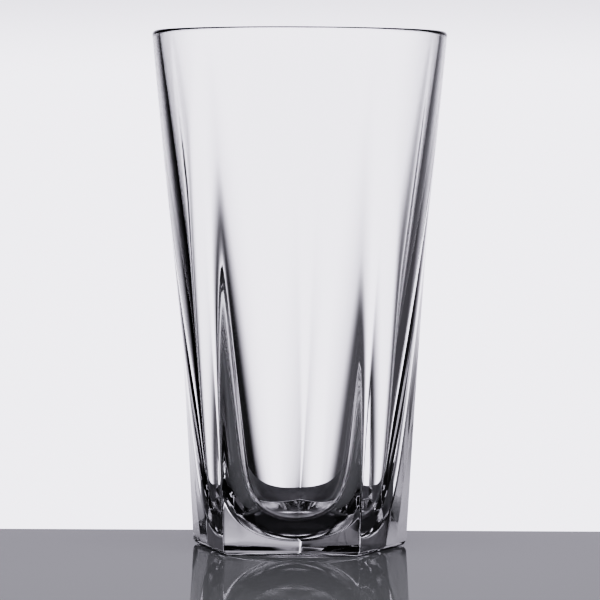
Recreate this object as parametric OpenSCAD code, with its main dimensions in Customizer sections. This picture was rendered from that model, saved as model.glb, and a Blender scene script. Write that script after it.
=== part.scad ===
// Pint glass: one piece of clear pressed glass with a round rim, a five-sided foot
// and five ridges that run up from the foot's corners and fade out at the rim.
// At any height the outside is the round wall, with a flat drawn tangent to it from
// each side of each ridge. The inside is a straight round taper above a bowl that is
// nearly flat across its floor.
// The frame's origin is on the axis, in the plane the foot stands on; +Z is up,
// and one flat side of the foot faces -Y.

/* [Overall] */
// Height from the foot's standing plane to the top of the rim
height = 156; // [130:1:180]
// Outside diameter across the rim
rim_d = 89; // [80:1:100]

/* [Foot and ridges] */
// Number of flat sides round the foot, and of ridges
sides = 5; // [5:1:8]
// Distance from the axis to a corner of the foot
corner_r = 34.2; // [33:0.1:35]
// Radius of the round wall where it would reach the standing plane
round_foot_r = 27.5; // [26:0.1:27.6]
// How far the round wall stands out, half-way up, past a straight taper
belly = 0.6; // [0:0.1:1]
// Rounding radius of a ridge at the foot
ridge_round_foot = 0.3; // [0.1:0.1:2]
// Rounding radius of a ridge where it fades out at the rim
ridge_round_rim = 22; // [2:1:25]
// How late the rounding grows on the way up: 1 is evenly, more is later
ridge_round_power = 1.6; // [0.6:0.1:3]
// Radius of the rounded edge round the bottom of the foot
foot_edge = 1.6; // [0.4:0.1:2]
// Diameter of the shallow hollow under the foot
hollow_d = 43; // [30:1:48]
// Depth of the shallow hollow under the foot
hollow_depth = 0.3; // [0.1:0.1:1.5]

/* [Wall and bowl] */
// Thickness of the wall just below the rim
rim_wall = 2.2; // [2:0.1:3.5]
// Thickness of the wall at the top of the bowl, between two ridges
bowl_wall = 5.6; // [2.5:0.1:6]
// Height at which the straight inside turns into the bowl
bowl_top = 50; // [30:1:80]
// Thickness of glass between the bottom of the bowl and the standing plane
floor_t = 3.8; // [3:0.1:12]
// How square the bowl is along its side: 2 is an ellipse
bowl_side_power = 6.2; // [2:0.1:10]
// How flat the bowl is along its floor: 2 is an ellipse
bowl_floor_power = 2.5; // [1.5:0.1:5]

/* [Hidden] */
glass_colour = [0.84, 0.89, 0.9, 0.4];
round_fn = 96;
overlap = 1;              // how far a cut runs past the face it opens
bowl_steps = 20;          // straight steps along the bowl, from floor to wall
edge_steps = 4;           // steps in a quarter round of the foot edge and of the lip
wall_steps = 14;          // rings of the outside between the foot edge and the lip
half_side_steps = 8;      // columns of the outside between a ridge and a side's middle
crowding = 1.6;           // how much the columns crowd towards the ridges
hollow_steps = 8;
sector = 360 / sides;
rim_r = rim_d / 2;
hollow_r = hollow_d / 2;
lip_r = rim_wall / 2;     // the rim is a full round
lip_z = height - lip_r;
columns = 2 * sides * half_side_steps;

// Outside radius of the round wall at height z; it is widest where the lip begins
function body_r(z) =
    let (up = z / lip_z)
    round_foot_r + (rim_r - round_foot_r) * up + belly * 4 * up * (1 - up);

// Distance from the axis to a ridge at height z, before the ridge is rounded
function ridge_r(z) = corner_r + (rim_r - corner_r) * z / lip_z;

// Rounding radius of a ridge at height z
function ridge_round(z) =
    ridge_round_foot + (ridge_round_rim - ridge_round_foot) * pow(z / lip_z, ridge_round_power);

// How far the rounded foot edge draws the outside in at height z
function drawn_in(z) = z >= foot_edge ? 0 : foot_edge - sqrt(pow(foot_edge, 2) - pow(foot_edge - z, 2));

// Radius of the outside at height z, at an angle measured from the nearest ridge
function outside_r(z, turn) =
    let (
        body = body_r(z) - drawn_in(z),
        ridge = max(ridge_r(z) - drawn_in(z) / cos(sector / 2), body),
        tangent = acos(min(1, body / ridge)),
        round_r = ridge_round(z),
        centre = ridge - round_r / cos(tangent),
        round_end = atan2(round_r * sin(tangent), centre + round_r * cos(tangent)),
        away = abs(turn)
    )
    away < round_end ? centre * cos(away) + sqrt(pow(round_r, 2) - pow(centre * sin(away), 2)) :
    away < tangent ? body / cos(tangent - away) :
    body;

// Angle from the nearest ridge of column i, crowded towards the ridges
function column_turn(i) =
    let (step = i % (2 * half_side_steps) - half_side_steps)
    sign(step) * sector / 2 * pow(abs(step) / half_side_steps, crowding);

// Angle of column i round the axis; the first column is the middle of the side facing -Y
function column_angle(i) =
    -90 + sector / 2 + sector * floor(i / (2 * half_side_steps)) + column_turn(i);

// Rings of the outside as [height, how far the lip draws the ring in]
foot_rings = [for (i = [0 : edge_steps]) [foot_edge * (1 - cos(90 * i / edge_steps)), 0]];
wall_rings = [for (i = [1 : wall_steps]) [foot_edge + (lip_z - foot_edge) * i / wall_steps, 0]];
lip_rings = [
    for (i = [1 : edge_steps])
        let (angle = 90 * i / edge_steps)
        [lip_z + lip_r * sin(angle), lip_r * (1 - cos(angle))]
];
rings = concat(foot_rings, wall_rings, lip_rings);

// Inside radius of the straight part of the cavity at height z
function straight_r(z) =
    let (low = body_r(bowl_top) - bowl_wall, high = rim_r - rim_wall)
    low + (high - low) * (z - bowl_top) / (lip_z - bowl_top);

// Point on the bowl; angle 0 is the bottom on the axis, 90 is the top of the bowl
function bowl_point(angle) =
    let (z = bowl_top - (bowl_top - floor_t) * pow(cos(angle), 2 / bowl_side_power))
    [straight_r(z) * pow(sin(angle), 2 / bowl_floor_power), z];

// Point on the inner half of the rounded lip; angle 0 is the innermost point, 90 the top
function lip_point(angle) =
    [rim_r - rim_wall + lip_r * (1 - cos(angle)), lip_z + lip_r * sin(angle)];

// Solid outside: round wall, ridges and the flats beside them, up to the top of the lip
module outside() {
    top = len(rings) - 1;
    polyhedron(
        points = [
            for (ring = rings, i = [0 : columns - 1])
                let (radius = outside_r(ring[0], column_turn(i)) - ring[1])
                [radius * cos(column_angle(i)), radius * sin(column_angle(i)), ring[0]]
        ],
        faces = concat(
            [[for (i = [0 : columns - 1]) i]],
            [
                for (ring = [0 : top - 1], i = [0 : columns - 1])
                    let (a = ring * columns, beside = (i + 1) % columns)
                    [a + i, a + columns + i, a + columns + beside, a + beside]
            ],
            [[for (i = [columns - 1 : -1 : 0]) top * columns + i]]
        ),
        convexity = 4
    );
}

// Space inside the glass: the bowl below a straight taper, opening over the rounded lip
module cavity() {
    rotate_extrude($fn = round_fn)
        polygon(concat(
            [for (i = [0 : bowl_steps]) bowl_point(90 * i / bowl_steps)],
            [for (i = [0 : edge_steps]) lip_point(90 * i / edge_steps)],
            [[rim_r - lip_r, height + overlap], [0, height + overlap]]
        ));
}

// Shallow domed hollow that leaves a flat band round the foot to stand on
module foot_hollow() {
    rotate_extrude($fn = round_fn)
        polygon(concat(
            [[0, -overlap], [hollow_r, -overlap]],
            [
                for (i = [hollow_steps : -1 : 0])
                    let (t = i / hollow_steps)
                    [hollow_r * t, hollow_depth * (0.5 + 0.5 * cos(180 * t))]
            ]
        ));
}

module glass_body() {
    color(glass_colour)
        difference() {
            outside();
            cavity();
            foot_hollow();
        }
}

glass_body();
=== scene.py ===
"""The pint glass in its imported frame: one clear piece standing on a grey table top."""

import math

import bpy
import numpy as np
from mathutils import Euler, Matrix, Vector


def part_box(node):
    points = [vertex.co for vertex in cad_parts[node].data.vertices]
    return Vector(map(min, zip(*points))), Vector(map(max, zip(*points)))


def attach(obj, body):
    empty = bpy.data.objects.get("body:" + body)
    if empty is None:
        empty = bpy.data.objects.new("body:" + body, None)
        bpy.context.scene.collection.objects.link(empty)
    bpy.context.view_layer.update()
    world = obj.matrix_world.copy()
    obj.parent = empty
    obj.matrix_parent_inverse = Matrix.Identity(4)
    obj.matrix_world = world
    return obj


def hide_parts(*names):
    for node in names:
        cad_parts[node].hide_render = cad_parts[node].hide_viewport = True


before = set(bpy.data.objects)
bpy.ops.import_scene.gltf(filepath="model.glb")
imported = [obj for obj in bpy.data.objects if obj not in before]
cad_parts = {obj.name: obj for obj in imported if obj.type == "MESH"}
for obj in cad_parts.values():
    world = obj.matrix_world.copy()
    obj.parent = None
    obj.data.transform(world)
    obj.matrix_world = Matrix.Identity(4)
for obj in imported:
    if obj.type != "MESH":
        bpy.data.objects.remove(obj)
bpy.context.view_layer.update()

# ---------------------------------------------------------------- sizes, in metres

MM = 0.001
node_low, node_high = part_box("glass_body")
FOOT_Z = node_low.z
HEIGHT = node_high.z - node_low.z
RIM_RADIUS = (node_high.x - node_low.x) / 2     # the glass is widest where its lip begins

SIDES = 5                       # ridges round the foot
FOOT_RADIUS = 27.5 * MM         # the round body, where it meets the table
BELLY = 0.6 * MM                # how far the round body stands out past a straight taper
RIDGE_FOOT_RADIUS = 34.2 * MM   # the ridges, where they meet the table
RIDGE_ROUND_FOOT = 0.3 * MM     # how round a ridge is at the foot
RIDGE_ROUND_RIM = 22.0 * MM     # and where it fades out at the rim
RIDGE_ROUND_POWER = 1.6         # how late the ridge softens on its way up
FOOT_EDGE = 1.6 * MM            # rounded edge round the foot

RIM_WALL = 2.2 * MM             # wall at the rim
LIP_ROUND = 1.4 * MM            # height of the rounded lip
LIP_Z = HEIGHT - LIP_ROUND
BOWL_TOP = 50.0 * MM            # height where the straight wall turns into the bowl
BOWL_WALL = 5.6 * MM            # wall at that height
FLOOR = 3.8 * MM                # glass under the middle of the bowl
BOWL_SIDE_POWER = 6.2           # how square the bowl is, along its side
BOWL_FLOOR_POWER = 2.5          # and along its floor
HOLLOW_RADIUS = 21.5 * MM       # shallow hollow under the foot
HOLLOW_DEPTH = 0.3 * MM
HOLLOW_POWER = 0.9              # under 1 makes the hollow a little fuller than a cosine wave

SECTOR = 2 * math.pi / SIDES
HALF_SECTOR = SECTOR / 2
LEAST_RIDGE = 1.0000001         # a ridge stays at least this many times the body's radius from the axis

# mesh density: columns round the glass, and rings up, over and down inside it
COLUMNS_HALF_SECTOR = 26
COLUMN_CROWDING = 1.6           # columns crowd towards the ridges
LOW_OUTSIDE = 30 * MM
LOW_OUTSIDE_RINGS = 30
HIGH_OUTSIDE_RINGS = 110
WALL_RINGS = 90
BOWL_RINGS = 60
HOLLOW_RINGS = 14
STANDING_RINGS = 6
FOOT_EDGE_RINGS = 9
LIP_RINGS = 19

# ---------------------------------------------------------------- shape of the glass


def body_radius(z):
    """Radius of the round body, a taper from the foot to the rim with a slight belly."""
    up = z / LIP_Z
    return FOOT_RADIUS + (RIM_RADIUS - FOOT_RADIUS) * up + BELLY * 4 * up * (1 - up)


def ridge_radius(z):
    """Distance of a ridge line from the middle. It meets the round body at the rim."""
    return RIDGE_FOOT_RADIUS + (RIM_RADIUS - RIDGE_FOOT_RADIUS) * z / LIP_Z


def ridge_rounding(z):
    """Radius of the rounding along a ridge."""
    share = (z / LIP_Z) ** RIDGE_ROUND_POWER
    return RIDGE_ROUND_FOOT + (RIDGE_ROUND_RIM - RIDGE_ROUND_FOOT) * share


def foot_rounding(z):
    """How far the rounded foot edge draws the outside in at a height."""
    if z >= FOOT_EDGE:
        return 0.0
    return FOOT_EDGE - math.sqrt(FOOT_EDGE ** 2 - (FOOT_EDGE - z) ** 2)


def outside_radius(z, turn):
    """Radius of the outside at a height, for angles measured from the nearest ridge.

    The section is the round body with a flat drawn tangent to it from each side of each ridge,
    and the ridges rounded.
    """
    drawn_in = foot_rounding(z)
    body = body_radius(z) - drawn_in
    ridge = max(ridge_radius(z) - drawn_in / math.cos(HALF_SECTOR), body * LEAST_RIDGE)
    tangent = math.acos(body / ridge)
    rounding = ridge_rounding(z)
    centre = ridge - rounding / math.cos(tangent)
    round_end = math.atan2(rounding * math.sin(tangent), centre + rounding * math.cos(tangent))
    off = np.abs(turn)
    flat = body / np.cos(tangent - np.minimum(off, tangent))
    radius = np.where(off < tangent, flat, body)
    arc = centre * np.cos(off) + np.sqrt(np.maximum(rounding ** 2 - (centre * np.sin(off)) ** 2, 0))
    return np.where(off < round_end, arc, radius)


def wall_radius(z):
    """Radius of the straight part of the inside."""
    low = body_radius(BOWL_TOP) - BOWL_WALL
    high = RIM_RADIUS - RIM_WALL
    return low + (high - low) * (z - BOWL_TOP) / (LIP_Z - BOWL_TOP)


def bowl_point(angle):
    """Radius and height of the bowl, from its middle at 0 to the straight wall at 90 degrees."""
    drop = math.cos(angle) ** (2 / BOWL_SIDE_POWER)
    reach = math.sin(angle) ** (2 / BOWL_FLOOR_POWER)
    z = BOWL_TOP - (BOWL_TOP - FLOOR) * drop
    return wall_radius(z) * reach, z


def hollow_height(radius):
    """Height of the shallow hollow under the foot."""
    return HOLLOW_DEPTH * (0.5 + 0.5 * math.cos(math.pi * radius / HOLLOW_RADIUS)) ** HOLLOW_POWER


def column_turns():
    """Angle of every column from its nearest ridge, and round the glass."""
    half = HALF_SECTOR * np.linspace(0, 1, COLUMNS_HALF_SECTOR + 1) ** COLUMN_CROWDING
    sector = np.concatenate([-half[:0:-1], half[:-1]])
    turns = np.tile(sector, SIDES)
    ridges = HALF_SECTOR + SECTOR * np.arange(SIDES)
    return turns, np.repeat(ridges, len(sector)) + turns


def steps(start, end, count):
    """Evenly spaced values after start, up to and including end."""
    return np.linspace(start, end, count)[1:]


def glass_rings(turns):
    """Every ring as radii and a height, from under the foot, over the lip and into the bowl."""
    even = np.ones_like(turns)
    foot = outside_radius(0.0, turns)
    rings = [(even * r, hollow_height(r)) for r in steps(0, HOLLOW_RADIUS, HOLLOW_RINGS)]
    rings += [(HOLLOW_RADIUS + (foot - HOLLOW_RADIUS) * t, 0.0) for t in steps(0, 1, STANDING_RINGS)]
    edge = [FOOT_EDGE * (1 - math.cos(a)) for a in steps(0, math.pi / 2, FOOT_EDGE_RINGS)]
    low = list(steps(FOOT_EDGE, LOW_OUTSIDE, LOW_OUTSIDE_RINGS))
    high = list(steps(LOW_OUTSIDE, LIP_Z, HIGH_OUTSIDE_RINGS))
    rings += [(outside_radius(z, turns), z) for z in edge + low + high]
    outer, inner = outside_radius(LIP_Z, turns), wall_radius(LIP_Z)
    for a in steps(0, math.pi, LIP_RINGS):
        radius = (outer + inner) / 2 + (outer - inner) / 2 * math.cos(a)
        rings.append((radius, LIP_Z + LIP_ROUND * math.sin(a)))
    rings += [(even * wall_radius(z), z) for z in steps(LIP_Z, BOWL_TOP, WALL_RINGS)]
    bowl = [bowl_point(a) for a in steps(math.pi / 2, 0, BOWL_RINGS)[:-1]]
    rings += [(even * r, z) for r, z in bowl]
    return rings


def mesh_object(name, vertices, faces):
    """A new object in the scene, from vertices and faces."""
    mesh = bpy.data.meshes.new(name)
    mesh.from_pydata(vertices, [], faces)
    mesh.update()
    made = bpy.data.objects.new(name, mesh)
    bpy.context.scene.collection.objects.link(made)
    return made


def make_glass():
    """The whole glass as one closed skin."""
    turns, around = column_turns()
    rings = glass_rings(turns)
    across, along = np.sin(around), -np.cos(around)
    points = [np.stack([r * across, r * along, np.full_like(r, FOOT_Z + z)], 1) for r, z in rings]
    middles = np.array([[0, 0, FOOT_Z + HOLLOW_DEPTH], [0, 0, FOOT_Z + FLOOR]])
    vertices = np.concatenate(points + [middles]).tolist()
    columns = len(turns)
    under, floor = len(rings) * columns, len(rings) * columns + 1
    last = (len(rings) - 1) * columns
    faces = []
    for column in range(columns):
        beside = (column + 1) % columns
        for start in range(0, last, columns):
            above = start + columns
            faces.append((start + column, start + beside, above + beside, above + column))
        faces.append((under, beside, column))
        faces.append((last + column, last + beside, floor))
    glass = mesh_object("clear_glass", vertices, faces)
    glass.data.shade_smooth()
    return glass


# ---------------------------------------------------------------- materials

GLASS_COLOUR = (1.0, 1.0, 1.0, 1.0)
GLASS_IOR = 1.5
RIPPLE_SCALE = 45.0             # about 20 mm from crest to crest
RIPPLE_DETAIL = 1.0
RIPPLE_HEIGHT = 0.002 * MM
SCUFF_SCALE = 900.0
SCUFF_DETAIL = 3.0
SCUFF_HEIGHT = 0.6 * MM         # how far the scuffs reach up from the standing face
SCUFF_ROUGHNESS = 0.25

TABLE_COLOUR = (0.12, 0.122, 0.126, 1.0)
TABLE_ROUGHNESS = 0.03
TABLE_SHEEN = 0.003             # so low that it mirrors only at a grazing angle


def new_material(name):
    """A node material and its tree."""
    material = bpy.data.materials.new(name)
    material.use_nodes = True
    return material, material.node_tree


def add_node(tree, kind, inputs=None, **settings):
    """A node with its settings, and its inputs given as values or as other nodes' outputs."""
    node = tree.nodes.new(kind)
    for name, value in settings.items():
        setattr(node, name, value)
    for key, value in (inputs or {}).items():
        if isinstance(value, bpy.types.NodeSocket):
            tree.links.new(value, node.inputs[key])
        else:
            node.inputs[key].default_value = value
    return node


def math_node(tree, operation, *values):
    """The result of an operation on values or on other nodes' outputs."""
    return add_node(tree, "ShaderNodeMath", dict(enumerate(values)), operation=operation).outputs[0]


def smooth_step(tree, value, start, end, low, high):
    """Goes smoothly from low to high while value goes from start to end."""
    inputs = {0: value, 1: start, 2: end, 3: low, 4: high}
    return add_node(tree, "ShaderNodeMapRange", inputs, interpolation_type="SMOOTHSTEP").outputs[0]


def glass_material():
    """Clear soda-lime glass with a faint ripple, and fine scuffs where the foot stands."""
    material, tree = new_material("clear_soda_lime_glass")
    shader = tree.nodes["Principled BSDF"]
    shader.inputs["Base Color"].default_value = GLASS_COLOUR
    shader.inputs["Transmission Weight"].default_value = 1.0
    shader.inputs["IOR"].default_value = GLASS_IOR
    place = add_node(tree, "ShaderNodeTexCoord").outputs["Object"]
    ripple = add_node(tree, "ShaderNodeTexNoise", {
        "Vector": place, "Scale": RIPPLE_SCALE, "Detail": RIPPLE_DETAIL})
    bump = add_node(tree, "ShaderNodeBump", {
        "Height": ripple.outputs[0], "Strength": 1.0, "Distance": RIPPLE_HEIGHT})
    tree.links.new(bump.outputs["Normal"], shader.inputs["Normal"])
    height = add_node(tree, "ShaderNodeSeparateXYZ", {0: place}).outputs["Z"]
    near_foot = smooth_step(tree, height, FOOT_Z, FOOT_Z + SCUFF_HEIGHT, 1.0, 0.0)
    grain = add_node(tree, "ShaderNodeTexNoise", {
        "Vector": place, "Scale": SCUFF_SCALE, "Detail": SCUFF_DETAIL})
    scuffs = math_node(tree, "MULTIPLY", near_foot, grain.outputs[0])
    roughness = math_node(tree, "MULTIPLY", scuffs, SCUFF_ROUGHNESS)
    tree.links.new(roughness, shader.inputs["Roughness"])
    return material


def table_material():
    """Smooth grey table top with a faint mirror at grazing angles."""
    material, tree = new_material("table_grey")
    shader = tree.nodes["Principled BSDF"]
    shader.inputs["Base Color"].default_value = TABLE_COLOUR
    shader.inputs["Roughness"].default_value = TABLE_ROUGHNESS
    shader.inputs["Specular IOR Level"].default_value = TABLE_SHEEN
    return material


# ---------------------------------------------------------------- table, light and camera

CAMERA_AZIMUTH = math.radians(3.6)      # turned about the glass, from -Y towards +X
CAMERA_DISTANCE = 1.204
CAMERA_HEIGHT = 0.116
CAMERA_TILT = math.radians(-1.9537)
CAMERA_ROLL = math.radians(-0.27)
CAMERA_PAN = math.radians(-0.0115)
CAMERA_CLIP_START = 0.01
SENSOR_WIDTH = 36.0                     # in millimetres, as the lens is
LENS = 239.22

TABLE_WIDTH = 1.2
TABLE_FRONT = -0.9                      # its edges, measured from the glass towards the backdrop
TABLE_BACK = 0.058
TABLE_THICKNESS = 0.02
TABLE_GAP = 0.1 * MM                    # between the foot and the table, so that they don't touch

# The backdrop, flags and room are light by direction, not objects. Azimuth is 0 straight behind
# the glass, elevation 0 on the horizon.
LIGHT_COLOUR = (0.985, 0.965, 1.07, 1.0)
BACKDROP_LIGHT = 1.45
BACKDROP_SIDES = (math.radians(3), math.radians(33))    # full light to the first, none past the second
BACKDROP_BOTTOM = (math.radians(-49), math.radians(-32))    # fades in and out over these elevations
BACKDROP_TOP = (math.radians(30), math.radians(47))
DIMMING = (math.radians(1.2), math.radians(2.8))        # the backdrop dims upwards between these
DIMMED_SHARE = 0.65
FLAG_LIGHT = (0.0, 0.08)                # dark flags beside the backdrop, left and right
FLAG_BLEND = (-0.2, 0.2)                # one blends into the other over this part of the middle
FLAG_END = (math.radians(60), math.radians(85))         # the flags give way to the room here
ROOM_LIGHT = 0.4                        # the dim room beyond them

TABLE_LIGHT_POWER = 2.1
TABLE_LIGHT_SIZE = 0.5
TABLE_LIGHT_HEIGHT = 0.38
TABLE_LIGHT_FORWARD = 0.4               # from the glass towards the camera

LIGHT_BOUNCES = 24


def turned_to_camera(x, y, z):
    """A point given across and along the camera's line of sight, in the frame's own axes."""
    c, s = math.cos(CAMERA_AZIMUTH), math.sin(CAMERA_AZIMUTH)
    return (x * c - y * s, x * s + y * c, z)


def make_table():
    """Table top the glass stands on, with its far edge square to the camera."""
    half = TABLE_WIDTH / 2
    corners = [(-half, TABLE_FRONT), (half, TABLE_FRONT), (half, TABLE_BACK), (-half, TABLE_BACK)]
    top = FOOT_Z - TABLE_GAP
    vertices = [turned_to_camera(x, y, z) for z in (top, top - TABLE_THICKNESS) for x, y in corners]
    sides = [(i, i + 4, (i + 1) % 4 + 4, (i + 1) % 4) for i in range(4)]
    table = mesh_object("table_top", vertices, [(0, 1, 2, 3), (7, 6, 5, 4)] + sides)
    table.data.materials.append(table_material())
    return table


def backdrop_share(tree, aside, elevation):
    """How much of the backdrop's light comes from a direction, from 0 to 1."""
    side = smooth_step(tree, aside, *BACKDROP_SIDES, 1.0, 0.0)
    bottom = smooth_step(tree, elevation, *BACKDROP_BOTTOM, 0.0, 1.0)
    top = smooth_step(tree, elevation, *BACKDROP_TOP, 1.0, 0.0)
    dimmed = smooth_step(tree, elevation, *DIMMING, 1.0, DIMMED_SHARE)
    share = side
    for part in (bottom, top, dimmed):
        share = math_node(tree, "MULTIPLY", share, part)
    return share


def room_light(tree, aside, x):
    """The light from the flags beside the backdrop, and from the dim room beyond them."""
    flags = smooth_step(tree, x, *FLAG_BLEND, *FLAG_LIGHT)
    beyond = smooth_step(tree, aside, *FLAG_END, 0.0, 1.0)
    return math_node(tree, "ADD", flags, math_node(tree, "MULTIPLY", beyond, ROOM_LIGHT))


def make_world():
    """A softly lit backdrop behind the glass, in a dim room."""
    world = bpy.data.worlds.new("studio")
    bpy.context.scene.world = world
    world.use_nodes = True
    tree = world.node_tree
    direction = add_node(tree, "ShaderNodeTexCoord").outputs["Generated"]
    turned = add_node(tree, "ShaderNodeVectorRotate", {"Vector": direction, "Angle": -CAMERA_AZIMUTH},
                      rotation_type="Z_AXIS")
    x, y, z = add_node(tree, "ShaderNodeSeparateXYZ", {0: turned.outputs[0]}).outputs
    aside = math_node(tree, "ABSOLUTE", math_node(tree, "ARCTAN2", x, y))
    elevation = math_node(tree, "ARCSINE", z)
    share = backdrop_share(tree, aside, elevation)
    lit = math_node(tree, "MULTIPLY", share, BACKDROP_LIGHT)
    unlit = math_node(tree, "MULTIPLY", math_node(tree, "SUBTRACT", 1.0, share), room_light(tree, aside, x))
    background = tree.nodes["Background"]
    background.inputs["Color"].default_value = LIGHT_COLOUR
    tree.links.new(math_node(tree, "ADD", lit, unlit), background.inputs["Strength"])


def make_table_light(table):
    """Soft light from above, for the table only, so that the glass keeps its dark edges."""
    data = bpy.data.lights.new("table_light", "AREA")
    data.energy = TABLE_LIGHT_POWER
    data.size = TABLE_LIGHT_SIZE
    light = bpy.data.objects.new("table_light", data)
    light.location = turned_to_camera(0, -TABLE_LIGHT_FORWARD, FOOT_Z + TABLE_LIGHT_HEIGHT)
    bpy.context.scene.collection.objects.link(light)
    lit = bpy.data.collections.new("lit_by_table_light")
    lit.objects.link(table)
    light.light_linking.receiver_collection = lit


def make_camera():
    """A long lens, low in front of the glass and looking slightly down."""
    data = bpy.data.cameras.new("camera")
    data.sensor_width = SENSOR_WIDTH
    data.lens = LENS
    data.clip_start = CAMERA_CLIP_START
    camera = bpy.data.objects.new("camera", data)
    bpy.context.scene.collection.objects.link(camera)
    camera.location = turned_to_camera(0.0, -CAMERA_DISTANCE, CAMERA_HEIGHT)
    turns = (math.pi / 2 + CAMERA_TILT, CAMERA_ROLL, CAMERA_AZIMUTH + CAMERA_PAN)
    camera.rotation_euler = Euler(turns, "XYZ")
    bpy.context.scene.camera = camera


def set_scene():
    """The picture's tones, and enough bounces for light to find its way out of the glass."""
    scene = bpy.context.scene
    scene.view_settings.view_transform = "Filmic"
    scene.view_settings.look = "Very High Contrast"
    scene.cycles.max_bounces = LIGHT_BOUNCES
    scene.cycles.transmission_bounces = LIGHT_BOUNCES


# ---------------------------------------------------------------- the scene

glass = make_glass()
glass.data.materials.append(glass_material())
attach(glass, "root")
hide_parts("glass_body")
make_table_light(make_table())
make_world()
make_camera()
set_scene()
